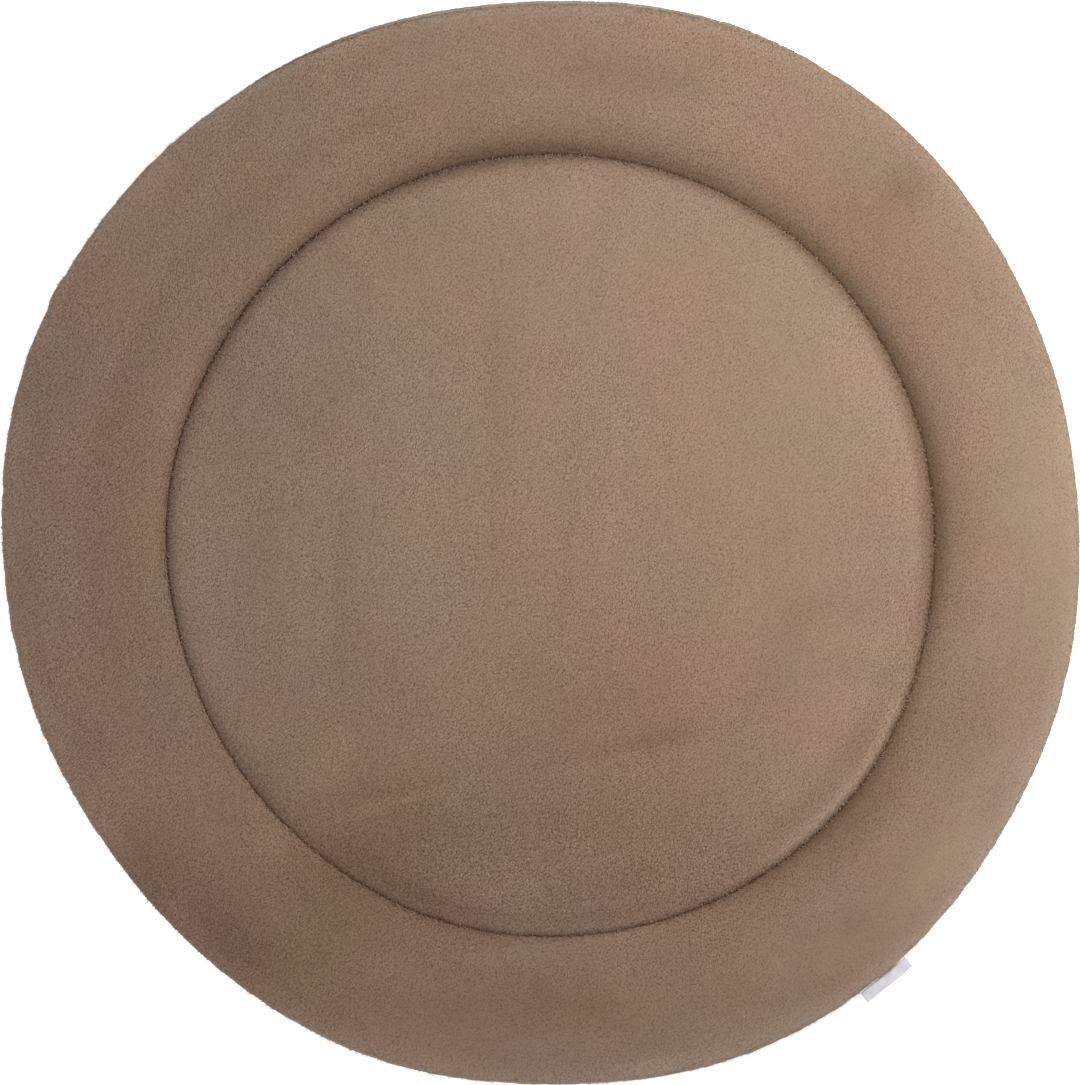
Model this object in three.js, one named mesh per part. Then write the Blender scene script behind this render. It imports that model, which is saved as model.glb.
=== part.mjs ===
// A round padded play mat, lying flat on the floor with its plush side up.
// Millimetres, +Z up, +X to the right and +Y to the top of the mat as it is seen from above.
// The origin is on the floor, under the middle of the mat.
//
// Three pieces, as they are sewn:
//   filled_pad   the plush face with its wadding: one filled body, held down along a sewn circle
//   back_panel   the cloth underneath, turned up all round to the seam at the edge
//   side_tab     a bare folded tape, caught in the seam at the edge

import * as THREE from "three";

// ---- the mat seen from above ----
const MAT_RADIUS = 450; // mean radius of the edge
const CIRCLE_RADIUS = 321.7; // mean radius of the sewn circle
const CIRCLE_SHIFT = { x: 6.9, y: -3.9 }; // the circle isn't sewn quite in the middle

// How far the edge and the circle wander from true circles.
// count: swings in one turn, swing: millimetres, phase: degrees.
const EDGE_WAVES = [
  { count: 2, swing: 3.25, phase: -133 },
  { count: 3, swing: 4.05, phase: 147 },
  { count: 4, swing: 1.95, phase: -129 },
  { count: 6, swing: 1.05, phase: 0 },
  { count: 7, swing: 0.4, phase: -49 },
  { count: 8, swing: 0.82, phase: -166 },
  { count: 12, swing: 0.36, phase: -175 },
];
const CIRCLE_WAVES = [
  { count: 2, swing: 3.1, phase: -163 },
  { count: 3, swing: 0.85, phase: 163 },
  { count: 4, swing: 0.75, phase: -142 },
  { count: 5, swing: 0.86, phase: 172 },
  { count: 7, swing: 0.31, phase: 106 },
  { count: 9, swing: 0.31, phase: 119 },
];

// Where the edge seam has rolled up onto the face, so that the back panel shows past the pad.
// bearing: degrees, spread: degrees to each side, shows: millimetres.
const ROLLED_EDGE = [
  { bearing: 92, spread: 33, shows: 2.6 },
  { bearing: 134, spread: 6, shows: 0.9 },
  { bearing: 155, spread: 9, shows: 2.4 },
];

// ---- heights above the floor ----
const RING_CROWN = 21; // top of the padded ring
const DISC_CROWN = 22; // top of the padded middle
const CIRCLE_TOP = 7.6; // face cloth at the sewn circle
const EDGE_SEAM = 8.5; // top of the back panel at the edge
const PANEL = 2; // thickness of the back panel
const GAP = 0.4; // between the pad and the back panel, measured straight up
const CIRCLE_LIFT = 1.6; // how far the stitches pull the underside off the floor

// ---- how fast the padding rises beside each seam ----
// wide: how far the slope reaches, far: how softly it ends, near: how steeply it starts,
// share: its part of the whole rise.
const DISC_SHOULDER = { wide: 10, far: 2, near: 2, share: 0.44 };
const DISC_SWELL = { wide: 120, far: 1.9, near: 1 };
const RING_LIP = { wide: 2.6, far: 2, near: 2, share: 0.14 };
const RING_SHOULDER = { wide: 33, far: 2, near: 1 };
const EDGE_ROLL = { wide: 9, far: 2.3, near: 2.3 };
const EDGE_EASE = { reach: 50, drop: 1.5 }; // the ring leans down a little before its edge
// Where the middle bulges in a low lip beside the circle, with a valley inside it.
// bearing, spread: degrees, at, half: millimetres inside the circle, high, deep: millimetres.
const LIPS = [
  { bearing: 325, spread: 30, at: 6.5, half: 4.5, high: 1.4, valley: 21, valleyHalf: 9, deep: 1.3 },
  { bearing: 268, spread: 40, at: 4, half: 3.5, high: 0.6, valley: 14, valleyHalf: 8, deep: 0.8 },
];
const UNDER_CIRCLE = 15; // reach of the lift under the sewn circle
const UNDER_EDGE = 18; // reach of the turn-up at the edge
const TUCK = 1.2; // how far the back panel ends under the pad's edge, where it doesn't show

// ---- soft troughs left in the face by folding and by the wadding ----
// x, y: middle, turn: degrees from +X, long and wide: half sizes, deep: millimetres.
const TROUGHS = [
  { x: -38, y: -188, turn: 13, long: 165, wide: 13, deep: 0.9 },
  { x: 88, y: -152, turn: 20, long: 60, wide: 22, deep: 0.6 },
  { x: -165, y: 40, turn: 88, long: 120, wide: 20, deep: 0.6 },
  { x: -42, y: 110, turn: 94, long: 130, wide: 18, deep: 0.5 },
  { x: 36, y: -20, turn: 88, long: 90, wide: 16, deep: 0.5 },
  { x: 205, y: -70, turn: 70, long: 55, wide: 24, deep: 0.6 },
  { x: 150, y: 399, turn: 32, long: 38, wide: 10, deep: 0.9 },
  { x: 300, y: 292, turn: 62, long: 20, wide: 14, deep: 1.6 },
  { x: 356, y: -148, turn: 70, long: 52, wide: 24, deep: 1.3 },
  { x: 412, y: 40, turn: 12, long: 34, wide: 9, deep: 0.8 },
  { x: -285, y: -306, turn: 132, long: 88, wide: 26, deep: 1.3 },
  { x: 16, y: -368, turn: 80, long: 24, wide: 16, deep: 0.7 },
  { x: -405, y: 145, turn: 60, long: 36, wide: 16, deep: 0.9 },
];
// Long troughs that follow the ring. from, to: degrees, share: way across the ring from the circle.
const RING_TROUGHS = [
  { from: 98, to: 208, share: 0.44, wide: 17, deep: 1.1 },
  { from: 236, to: 262, share: 0.62, wide: 18, deep: 0.7 },
];

// ---- the tape in the edge seam ----
const TAB = {
  bearing: -52.1,
  length: 47.8,
  reach: 10.1,
  tape: 0.5,
  between: 0.4,
  droop: 7,
  turn: 1.2,
  clear: 0.35,
};

// ---- how finely the cloth is divided ----
const SECTORS = 90;
const DISC_STEPS = [170, 100, 62, 38, 22, 13, 7.5, 4, 1.6, 0.5, 0]; // millimetres inside the circle
const RING_STEPS = [0.8, 2.6, 6.5, 13, 22, 34]; // millimetres outside the circle
const EDGE_STEPS = [42, 22, 9, 5, 2.2, 0.7]; // millimetres inside the edge
const UNDER_CIRCLE_STEPS = [15, 6]; // millimetres to each side of the circle
const UNDER_EDGE_STEPS = [18, 10, 4]; // millimetres inside the outline

const rad = (degrees) => (degrees * Math.PI) / 180;
const wander = (waves, a) =>
  waves.reduce(
    (sum, w) => sum + w.swing * Math.cos(w.count * a - rad(w.phase)),
    0,
  );
// From 0 at a seam to 1 at a distance of `wide` from it.
const rise = (d, { wide, far, near }) =>
  Math.pow(1 - Math.pow(1 - Math.min(Math.max(d / wide, 0), 1), far), 1 / near);
// From 1 down to 0, level at both ends.
const fade = (t) => {
  const s = Math.min(Math.max(1 - t, 0), 1);
  return s * s * (3 - 2 * s);
};
const apart = (a, b) => Math.abs(((((a - b) % 360) + 540) % 360) - 180);

const bearingOf = (k) => (2 * Math.PI * (k % SECTORS)) / SECTORS;
const outline = (a) => {
  const r = MAT_RADIUS + wander(EDGE_WAVES, a);
  return { x: r * Math.cos(a), y: r * Math.sin(a) };
};
// The outline's own middle, which goes to the origin.
const all = Array.from({ length: SECTORS }, (_, k) => outline(bearingOf(k)));
const middle = (get) =>
  (Math.min(...all.map(get)) + Math.max(...all.map(get))) / 2;
const MIDDLE = { x: middle((p) => p.x), y: middle((p) => p.y) };
const CENTRE = {
  x: CIRCLE_SHIFT.x - MIDDLE.x,
  y: CIRCLE_SHIFT.y - MIDDLE.y,
};

const circleAt = (a) => {
  const r = CIRCLE_RADIUS + wander(CIRCLE_WAVES, a);
  return { x: CENTRE.x + r * Math.cos(a), y: CENTRE.y + r * Math.sin(a) };
};
const shown = (a) =>
  ROLLED_EDGE.reduce(
    (most, e) =>
      Math.max(
        most,
        e.shows * fade(apart((a * 180) / Math.PI, e.bearing) / e.spread - 0.3),
      ),
    0,
  );
// The edge, `back` millimetres in from the outline.
const edgeAt = (a, back) => {
  const r = MAT_RADIUS + wander(EDGE_WAVES, a) - back;
  return { x: r * Math.cos(a) - MIDDLE.x, y: r * Math.sin(a) - MIDDLE.y };
};
// The back panel reaches the outline where it shows, and elsewhere ends just under the pad's edge.
const panelBack = (a) => Math.max(TUCK - shown(a), 0);
const padEdge = (a) => edgeAt(a, shown(a));
const panelEdge = (a) => edgeAt(a, panelBack(a));

const toward = (p, q, millimetres) => {
  const length = Math.hypot(q.x - p.x, q.y - p.y);
  const t = millimetres / length;
  return { x: p.x + (q.x - p.x) * t, y: p.y + (q.y - p.y) * t };
};
const between = (p, q, t) => ({
  x: p.x + (q.x - p.x) * t,
  y: p.y + (q.y - p.y) * t,
});
const gapOf = (p, q) => Math.hypot(q.x - p.x, q.y - p.y);

const troughs = (x, y) =>
  TROUGHS.reduce((sum, t) => {
    const c = Math.cos(rad(t.turn));
    const s = Math.sin(rad(t.turn));
    const u = ((x - t.x) * c + (y - t.y) * s) / t.long;
    const v = (-(x - t.x) * s + (y - t.y) * c) / t.wide;
    return sum + t.deep * Math.exp(-u * u * u * u - v * v);
  }, 0);
const ringTroughs = (a, fromCircle, width) =>
  RING_TROUGHS.reduce((sum, t) => {
    const half = (t.to - t.from) / 2;
    const off = apart((a * 180) / Math.PI, t.from + half) / half;
    const v = (fromCircle - t.share * width) / t.wide;
    return sum + t.deep * Math.exp(-Math.pow(off, 6) - v * v);
  }, 0);

// The top of the back panel, from its distance to the circle and to the outline.
const panelTop = (fromCircle, fromOutline) => {
  const lift = CIRCLE_LIFT * fade(fromCircle / UNDER_CIRCLE);
  const t = Math.max(1 - fromOutline / UNDER_EDGE, 0);
  return PANEL + lift + (EDGE_SEAM - PANEL) * Math.pow(t, 1.8);
};

const bump = (d, at, half) => Math.exp(-(((d - at) / half) ** 2));
const lips = (a, d) =>
  LIPS.reduce(
    (sum, l) =>
      sum +
      fade(apart((a * 180) / Math.PI, l.bearing) / l.spread - 0.25) *
        (l.high * bump(d, l.at, l.half) - l.deep * bump(d, l.valley, l.valleyHalf)),
    0,
  );
const discTop = (a, p, d) => {
  const { share } = DISC_SHOULDER;
  const up = share * rise(d, DISC_SHOULDER) + (1 - share) * rise(d, DISC_SWELL);
  const soft = Math.min(d / 20, 1);
  return (
    CIRCLE_TOP +
    (DISC_CROWN - CIRCLE_TOP) * up -
    troughs(p.x, p.y) * soft +
    lips(a, d) * Math.min(d / 2, 1)
  );
};
const ringTop = (a, p, fromCircle, fromEdge) => {
  const { share } = RING_LIP;
  const inner =
    share * rise(fromCircle, RING_LIP) + (1 - share) * rise(fromCircle, RING_SHOULDER);
  const outer = rise(fromEdge, EDGE_ROLL);
  const crown =
    RING_CROWN - EDGE_EASE.drop * Math.max(1 - fromEdge / EDGE_EASE.reach, 0) ** 2;
  const edge = panelTop(1e3, shown(a)) + GAP;
  const soft = Math.min(fromCircle / 20, fromEdge / 20, 1);
  return (
    crown -
    (RING_CROWN - CIRCLE_TOP) * (1 - inner) -
    (crown - edge) * (1 - outer) -
    (troughs(p.x, p.y) + ringTroughs(a, fromCircle, fromCircle + fromEdge)) * soft
  );
};
// A ring of points, one in each sector: at(a) gives { x, y, z }.
const ring = (at) =>
  Array.from({ length: SECTORS }, (_, k) => at(bearingOf(k)));

// The rings of the face, from the middle out to the edge.
const faceRings = [
  ...DISC_STEPS.map((d) =>
    ring((a) => {
      const p = toward(circleAt(a), CENTRE, d);
      return { ...p, z: discTop(a, p, d) };
    }),
  ),
  ...RING_STEPS.map((d) =>
    ring((a) => {
      const p = toward(circleAt(a), padEdge(a), d);
      return { ...p, z: ringTop(a, p, d, gapOf(p, padEdge(a))) };
    }),
  ),
  ring((a) => {
    const p = between(circleAt(a), padEdge(a), 0.54);
    const w = gapOf(circleAt(a), padEdge(a));
    return { ...p, z: ringTop(a, p, 0.54 * w, 0.46 * w) };
  }),
  ...EDGE_STEPS.map((d) =>
    ring((a) => {
      const p = toward(padEdge(a), circleAt(a), d);
      return { ...p, z: ringTop(a, p, gapOf(p, circleAt(a)), d) };
    }),
  ),
  ring((a) => ({ ...padEdge(a), z: panelTop(1e3, shown(a)) + GAP })),
];

// The rings that the pad's underside and both sides of the back panel share, from near the
// outline in to the middle.
const underRings = (height) => [
  ...[...UNDER_EDGE_STEPS].reverse().map((d) =>
    ring((a) => ({
      ...toward(edgeAt(a, 0), circleAt(a), d),
      z: height(1e3, d),
    })),
  ),
  ...UNDER_CIRCLE_STEPS.map((d) =>
    ring((a) => ({
      ...toward(circleAt(a), edgeAt(a, 0), d),
      z: height(d, 1e3),
    })),
  ),
  ring((a) => ({ ...circleAt(a), z: height(0, 1e3) })),
  ...[...UNDER_CIRCLE_STEPS].reverse().map((d) =>
    ring((a) => ({ ...toward(circleAt(a), CENTRE, d), z: height(d, 1e3) })),
  ),
];

// One closed body from rings that run from a point on top, over the edge, to a point below.
function closedBody(top, rings, bottom) {
  const points = [top, ...rings.flat(), bottom];
  const index = [];
  const at = (r, k) => 1 + r * SECTORS + (k % SECTORS);
  for (let k = 0; k < SECTORS; k++) {
    index.push(0, at(0, k), at(0, k + 1));
    for (let r = 0; r + 1 < rings.length; r++)
      index.push(
        at(r, k), at(r + 1, k), at(r + 1, k + 1),
        at(r, k), at(r + 1, k + 1), at(r, k + 1),
      );
    index.push(at(rings.length - 1, k), points.length - 1, at(rings.length - 1, k + 1));
  }
  const geometry = new THREE.BufferGeometry();
  geometry.setAttribute(
    "position",
    new THREE.Float32BufferAttribute(points.flatMap((p) => [p.x, p.y, p.z]), 3),
  );
  geometry.setIndex(index);
  geometry.computeVertexNormals();
  return geometry;
}

const padGeometry = closedBody(
  { ...CENTRE, z: discTop(0, CENTRE, CIRCLE_RADIUS) },
  [
    ...faceRings,
    ...underRings((c, e) => panelTop(c, e) + GAP),
  ],
  { ...CENTRE, z: PANEL + GAP },
);

// The back panel's upper side is the pad's underside, a little lower. Its lower side is one
// thickness below that, and flat on the floor all over but at the circle and the edge.
const panelUnder = (c, e) => panelTop(c, e) - PANEL;
const panelGeometry = closedBody(
  { ...CENTRE, z: PANEL },
  [
    ...underRings(panelTop).reverse(),
    ring((a) => ({ ...panelEdge(a), z: panelTop(1e3, panelBack(a)) })),
    ring((a) => ({ ...panelEdge(a), z: panelUnder(1e3, panelBack(a)) })),
    ...underRings(panelUnder),
  ],
  { ...CENTRE, z: 0 },
);

// The tab: a tape folded in two, its fold outwards, seen from its end as a flat U on its side.
const u = new THREE.Shape();
const outer = TAB.tape + TAB.between / 2; // half the height of the folded tape
const inner = TAB.between / 2;
u.moveTo(0, outer);
u.lineTo(TAB.reach - outer, outer);
u.absarc(TAB.reach - outer, 0, outer, Math.PI / 2, -Math.PI / 2, true);
u.lineTo(0, -outer);
u.lineTo(0, -inner);
u.lineTo(TAB.reach - outer, -inner);
u.absarc(TAB.reach - outer, 0, inner, -Math.PI / 2, Math.PI / 2, false);
u.lineTo(0, inner);
const tabGeometry = new THREE.ExtrudeGeometry(u, {
  depth: TAB.length,
  bevelEnabled: false,
  curveSegments: 5,
});
// The section's own x is outwards, its y is up, and its length runs along the edge.
tabGeometry.translate(0, 0, -TAB.length / 2);
tabGeometry.rotateX(Math.PI / 2);

const plush = new THREE.MeshStandardMaterial({
  color: 0x937a68,
  roughness: 0.95,
  metalness: 0,
});
const backing = new THREE.MeshStandardMaterial({
  color: 0x85705f,
  roughness: 0.95,
  metalness: 0,
});
const tape = new THREE.MeshStandardMaterial({
  color: 0xdfdde2,
  roughness: 0.6,
  metalness: 0,
});

const mat = new THREE.Group();
const piece = (name, geometry, material) => {
  const mesh = new THREE.Mesh(geometry, material);
  mesh.name = name;
  mat.add(mesh);
  return mesh;
};
piece("filled_pad", padGeometry, plush);
piece("back_panel", panelGeometry, backing);

const tab = piece("side_tab", tabGeometry, tape);
const tabBearing = rad(TAB.bearing);
const tabFoot = edgeAt(tabBearing, -TAB.clear);
tab.position.set(tabFoot.x, tabFoot.y, EDGE_SEAM);
tab.rotation.set(0, rad(TAB.droop), tabBearing + rad(TAB.turn), "ZYX");

export default mat;
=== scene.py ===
# A round padded play mat of short plush, lying face up, with a sewn circle, a back panel and a bare tab.
# Sizes below are in millimetres; the objects are in metres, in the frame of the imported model.
import math

import bpy
import numpy as np
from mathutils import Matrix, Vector


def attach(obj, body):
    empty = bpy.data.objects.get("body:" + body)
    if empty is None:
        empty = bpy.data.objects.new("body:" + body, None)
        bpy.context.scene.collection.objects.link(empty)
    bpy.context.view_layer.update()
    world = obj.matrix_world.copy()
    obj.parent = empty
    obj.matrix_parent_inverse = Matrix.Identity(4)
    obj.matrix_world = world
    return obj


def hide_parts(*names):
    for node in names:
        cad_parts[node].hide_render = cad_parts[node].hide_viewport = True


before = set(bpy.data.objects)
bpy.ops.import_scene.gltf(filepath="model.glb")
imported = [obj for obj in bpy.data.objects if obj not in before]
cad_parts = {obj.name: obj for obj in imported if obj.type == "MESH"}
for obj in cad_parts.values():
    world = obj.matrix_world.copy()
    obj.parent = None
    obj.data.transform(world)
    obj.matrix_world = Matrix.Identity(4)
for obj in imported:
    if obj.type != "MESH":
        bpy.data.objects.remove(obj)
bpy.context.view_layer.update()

MM = 0.001
TAU = 2 * math.pi

# ================================================================ the mat seen from above
MAT_RADIUS = 450.0
CIRCLE_RADIUS = 321.5
CIRCLE_SHIFT = (6.6, -3.6)
EDGE_WAVES = [  # swings in a turn, millimetres, phase in degrees
    (2, 3.25, -133),
    (3, 4.05, 147),
    (4, 1.95, -129),
    (6, 1.05, 0),
    (7, 0.4, -49),
    (8, 0.82, -166),
    (12, 0.36, -175),
]
CIRCLE_WAVES = [
    (2, 3.1, -163),
    (3, 0.85, 163),
    (4, 0.75, -142),
    (5, 0.86, 172),
    (7, 0.31, 106),
    (9, 0.31, 119),
]
ROLLED_EDGE = [  # bearing, spread, how far the back panel shows
    (92, 33, 2.6),
]

# ================================================================ heights and slopes
RING_CROWN = 19.6
DISC_CROWN = 20.6
CIRCLE_TOP = 6.2
EDGE_SEAM = 8.5
PANEL = 2.0
GAP = 0.4
CIRCLE_LIFT = 1.6
SHALLOW = [  # bearing, spread, how much less deep the sewn circle is there
    (236, 85, 4.6),
    (265, 34, 1.8),
]
EDGE_IN = (110, 75, 0.8)  # bearing, spread, how far the edge is drawn in there
NUB = (153.2, 1.5, 1.7)  # bearing, spread and reach of a bit of pile that sticks out of the edge
SEAM_ROLL = 6.0  # and there the edge is rolled up on to the face by this
STRIP_DROP = 1.7  # where the back panel shows past the face, its edge rolls down by this
UNDER_CIRCLE = 15.0
UNDER_EDGE = 18.0
TUCK = 1.2
# wide, far and near: how far a slope reaches, how soft it ends and how steep it starts
DISC_SHOULDER = (10.0, 2.0, 2.0)
DISC_SHARE = 0.44
DISC_SWELL = (120.0, 1.9, 1.0)
RING_LIP = (2.6, 2.0, 2.0)
RING_SHARE = 0.14
RING_SHOULDER = (33.0, 2.0, 1.0)
EDGE_ROLL = (9.0, 2.3, 2.3)
EDGE_EASE = (50.0, 1.5)  # the last stretch leans down a little: reach, drop

# Soft troughs: x, y, turn, half length, half width, depth.
TROUGHS = [
    (-38, -188, 13, 165, 13, 0.9),
    (88, -152, 20, 60, 22, 0.6),
    (-165, 40, 88, 120, 20, 0.6),
    (-42, 110, 94, 130, 18, 0.5),
    (36, -20, 88, 90, 16, 0.5),
    (205, -70, 70, 55, 24, 0.6),
    (150, 399, 32, 38, 10, 0.9),
    (300, 292, 62, 20, 14, 1.6),
    (356, -148, 70, 52, 24, 1.3),
    (412, 40, 12, 34, 9, 0.8),
    (-285, -306, 132, 88, 26, 1.3),
    (16, -368, 80, 24, 16, 0.7),
    (-405, 145, 60, 36, 16, 0.9),
]
RING_TROUGHS = [  # from, to, share of the way across the ring, half width, depth
    (98, 208, 0.44, 17, 1.1),
    (236, 262, 0.62, 18, 0.7),
]
# Where the middle bulges in a low lip beside the sewn circle, with a valley inside it. The lip's pile is
# painted lighter as a painted highlight, and the valley's pile darker as painted shade.
# bearing, spread, lip: at, half width, height, tone, valley: at, half width, depth, tone.
LIPS = [
    (322, 25, 5.6, 5.3, 2.0, 0.29, 21, 9, 1.5, -0.09),
    (268, 36, 4.0, 3.5, 0.6, 0.02, 13, 7, 0.6, -0.10),
    (0, 22, 3.0, 2.2, 0.6, 0.06, 9, 4, 0.4, -0.05),
]

# ================================================================ how the pile lies
# Patches of changed tone, partly where the pile lies another way and partly painted shade and painted
# highlight beside the troughs, dimples and slopes: x, y, turn, half length, half width, change of tone.
NAP_AND_PAINTED_SHADING = [
    (280, 127, -60, 75, 22, 0.10),
    (0, 284, 0, 80, 18, 0.08),
    (305, 20, 90, 50, 18, 0.07),
    (251, -142, 53, 110, 32, 0.08),
    (-273, -34, 85, 110, 20, 0.09),
    (-175, -177, 45, 30, 20, 0.10),
    (-72, -200, 16, 105, 5, 0.12),
    (0, -182, 12, 140, 6, -0.12),
    (103, -160, 15, 28, 12, -0.10),
    (184, -119, 45, 25, 18, -0.10),
    (211, -65, 60, 25, 15, -0.08),
    (-179, 109, 90, 40, 22, -0.09),
    (-163, -25, 88, 85, 9, -0.07),
    (-224, 11, 90, 30, 10, -0.05),
    (-36, 145, 90, 70, 12, -0.06),
    (-38, 20, 90, 70, 9, -0.05),
    (22, 2, 85, 90, 8, -0.05),
    (58, 29, 84, 80, 4, 0.06),
    (-103, 29, 90, 100, 25, 0.03),
    (-117, -281, -27, 70, 22, -0.16),
    (0, -231, 0, 60, 30, -0.04),
    (-90, -240, 0, 30, 20, -0.06),
    (300, 293, 0, 18, 18, -0.12),
    (345, -151, 60, 45, 30, -0.11),
    (260, -312, 0, 12, 12, -0.08),
    (-323, -267, -50, 30, 22, -0.12),
    (-256, -321, -45, 45, 25, -0.10),
    (-372, -168, 0, 20, 20, -0.07),
    (4, -370, 90, 20, 12, -0.07),
    (-224, -249, 0, 15, 15, 0.12),
    (-36, -343, 0, 30, 8, 0.06),
    (-421, 136, 70, 30, 12, -0.09),
    (-435, -38, 90, 30, 10, -0.07),
    (134, 392, 35, 25, 7, -0.09),
    (294, 268, 132, 120, 62, -0.11),
    (285, 285, 45, 42, 30, -0.07),
    (425, -10, 90, 110, 26, 0.08),
    (-296, 20, 90, 120, 16, 0.14),
    (-262, -130, 116, 50, 16, 0.08),
    (-178, -283, 58, 115, 70, -0.15),
    (10, -232, 0, 150, 52, -0.10),
    (-60, 60, 0, 190, 190, 0.03),
    (-284, -316, -42, 95, 26, -0.15),
    (50, -286, 10, 60, 15, -0.12),
    (268, -225, 50, 62, 15, -0.10),
    (39, -145, 15, 85, 45, -0.08),
    (69, 389, -10, 60, 20, -0.13),
    (0, -386, 0, 200, 24, -0.08),
    (272, 272, 135, 160, 28, -0.05),
    (325, -276, 50, 55, 14, 0.12),
    (368, -212, 60, 95, 24, 0.13),
    (149, -409, 20, 85, 15, 0.09),
    (-333, 280, 50, 50, 14, 0.09),
    (425, 60, 90, 60, 20, 0.05),
    (0, -388, 0, 65, 24, -0.09),
    (-282, -263, -45, 60, 24, -0.08),
    (-138, -116, -45, 50, 38, -0.07),
    (45, -95, 0, 90, 60, -0.04),
    (-335, -285, -42, 70, 14, -0.09),
]
# Stretches where the pile lies flatter and its grain shows less: x, y, turn, half length, half width, how much.
CALM = [
    (420, -20, 90, 170, 60, 0.9),
    (300, -290, 45, 150, 60, 0.95),
    (30, -400, 0, 170, 60, 0.7),
    (290, 290, 135, 140, 60, 0.5),
    (200, 40, 90, 200, 90, 0.65),
    (0, 400, 0, 150, 50, 0.3),
    (0, 235, 0, 180, 60, 0.45),
    (-380, -10, 90, 180, 60, -0.45),
    (10, -265, 0, 160, 60, -0.60),
]
# Broad stretches where the pile looks greyer (above 0) or pinker: x, y, turn, half length, half width, how much.
GREYER = [
    (10, 10, 0, 90, 70, -0.30),
    (115, -150, 0, 140, 120, -0.45),
    (-150, 60, 90, 160, 110, 0.42),
    (230, 190, 135, 140, 60, 0.40),
    (0, 262, 0, 110, 40, 0.20),
    (415, 60, 90, 180, 30, 0.42),
    (-195, -278, 145, 130, 90, -0.50),
    (268, 225, 130, 150, 20, -0.35),
    (-348, 0, 90, 140, 24, -0.40),
    (330, -200, 0, 50, 40, -0.15),
    (60, -412, 0, 120, 24, 0.25),
    (-282, -285, 135, 150, 50, -0.40),
    (-40, -385, 0, 190, 35, -0.40),
    (304, 304, 135, 170, 26, 0.40),
]
YELLOWER = [
    (180, 60, 90, 170, 90, 0.50),
    (425, 60, 90, 190, 25, 0.70),
    (330, -270, 45, 60, 20, 0.70),
    (304, 304, 135, 150, 22, 0.50),
    (-170, -290, 60, 130, 45, 0.50),
    (0, 120, 0, 120, 120, -0.12),
    (-388, 0, 90, 190, 45, -0.22),
]
# Painted shade in the ring's troughs and on its slope:
RING_PAINTED_SHADE = [  # from, to, share of the way across the ring, half width, change of tone
    (98, 208, 0.44, 12, -0.08),
    (60, 120, 0.50, 12, -0.04),
    (236, 262, 0.62, 14, -0.05),
]
# Painted shade beside the sewn circle, on both sides of its crease, and painted shade further up the ring's slope:
# bearing, least tone inside, gone at, least tone outside, gone at, change on the slope, gone at.
SEAM_PAINTED_SHADE = [
    (0, 0.62, 16, 0.58, 18, -0.25, 70),
    (20, 0.60, 15, 0.60, 18, -0.26, 72),
    (40, 0.68, 12, 0.68, 17, -0.25, 72),
    (60, 0.70, 13, 0.76, 16, -0.24, 62),
    (80, 0.80, 12, 0.66, 18, -0.29, 62),
    (100, 0.56, 17, 0.57, 21, -0.27, 60),
    (120, 0.78, 13, 0.67, 12, -0.19, 45),
    (150, 0.82, 16, 0.66, 11, -0.10, 60),
    (180, 0.84, 27, 0.84, 11, -0.10, 70),
    (200, 0.84, 32, 0.98, 8, -0.18, 50),
    (220, 0.80, 34, 1.06, 8, -0.10, 50),
    (240, 0.96, 30, 1.02, 9, -0.14, 65),
    (260, 0.83, 30, 0.84, 13, -0.16, 75),
    (280, 0.92, 24, 1.00, 11, -0.08, 75),
    (300, 0.85, 22, 0.80, 12, -0.22, 46),
    (318, 1.00, 9, 0.66, 12, -0.30, 50),
    (340, 0.76, 14, 0.80, 13, -0.14, 40),
]
# Painted highlight on the last tips beside the crease in some places, painted shade where below 0: bearing, spread,
# more of it inside, outside, gone at.
CREASE_PAINTED_LIGHT = [
    (290, 60, 0.34, 0.00, 3.8),
    (235, 50, 0.00, 0.50, 2.4),
    (45, 45, 0.00, 0.32, 2.4),
    (132, 34, -0.26, -0.34, 2.2),
]
# In the crease the pile is painted a deeper, warmer brown, as painted shade: all of it up to here, gone after so much
# more.
CREASE_SHADE_REACH = (0.5, 2.2)
# Longer tufts lean across the sewn circle: bearing, how many a millimetre from inside it and from outside.
FRINGE = [
    (0, 0.50, 0.08),
    (45, 0.80, 0.08),
    (100, 0.80, 0.10),
    (150, 0.36, 0.20),
    (190, 0.26, 0.30),
    (240, 0.22, 0.32),
    (300, 0.18, 0.30),
    (335, 0.26, 0.30),
]
# Painted light towards the edge: gain, gone at, and more of it round a bearing.
EDGE_PAINTED_LIGHT = (0.10, 24.0)
EDGE_PAINTED_LIGHT_MORE = (300, 95, 0.20)
# Painted rim light on the last tips, which the light shines through, so they stand out lighter; they are greyer too by
# their hue: reach, and how much by bearing.
EDGE_REACH = 9.0
EDGE_RIM_PAINTED_LIGHT = [
    (0, 0.12),
    (40, 0.02),
    (60, 0.02),
    (80, 0.10),
    (100, 0.44),
    (140, 0.58),
    (160, 0.62),
    (180, 0.50),
    (200, 0.30),
    (220, 0.26),
    (240, 0.48),
    (260, 0.64),
    (280, 0.66),
    (300, 0.62),
    (320, 0.78),
    (340, 0.36),
]
LAY = 230.0  # bearing that the tufts point to
LAY_PATCHES = [  # bearing of the place on the mat, spread, turn of the pile there
    (135, 40, 35),
    (185, 30, -8),
]

SECTORS = 640
CAD_SECTORS = 90


def wander(waves, a):
    return sum(s * np.cos(n * a - math.radians(p)) for n, s, p in waves)


def rise(d, wide, far, near):
    """From 0 at a seam to 1 at a distance of wide from it."""
    t = np.clip(d / wide, 0, 1)
    return (1 - (1 - t) ** far) ** (1 / near)


def fade(t):
    """From 1 down to 0, level at both ends."""
    s = np.clip(1 - t, 0, 1)
    return s * s * (3 - 2 * s)


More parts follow.
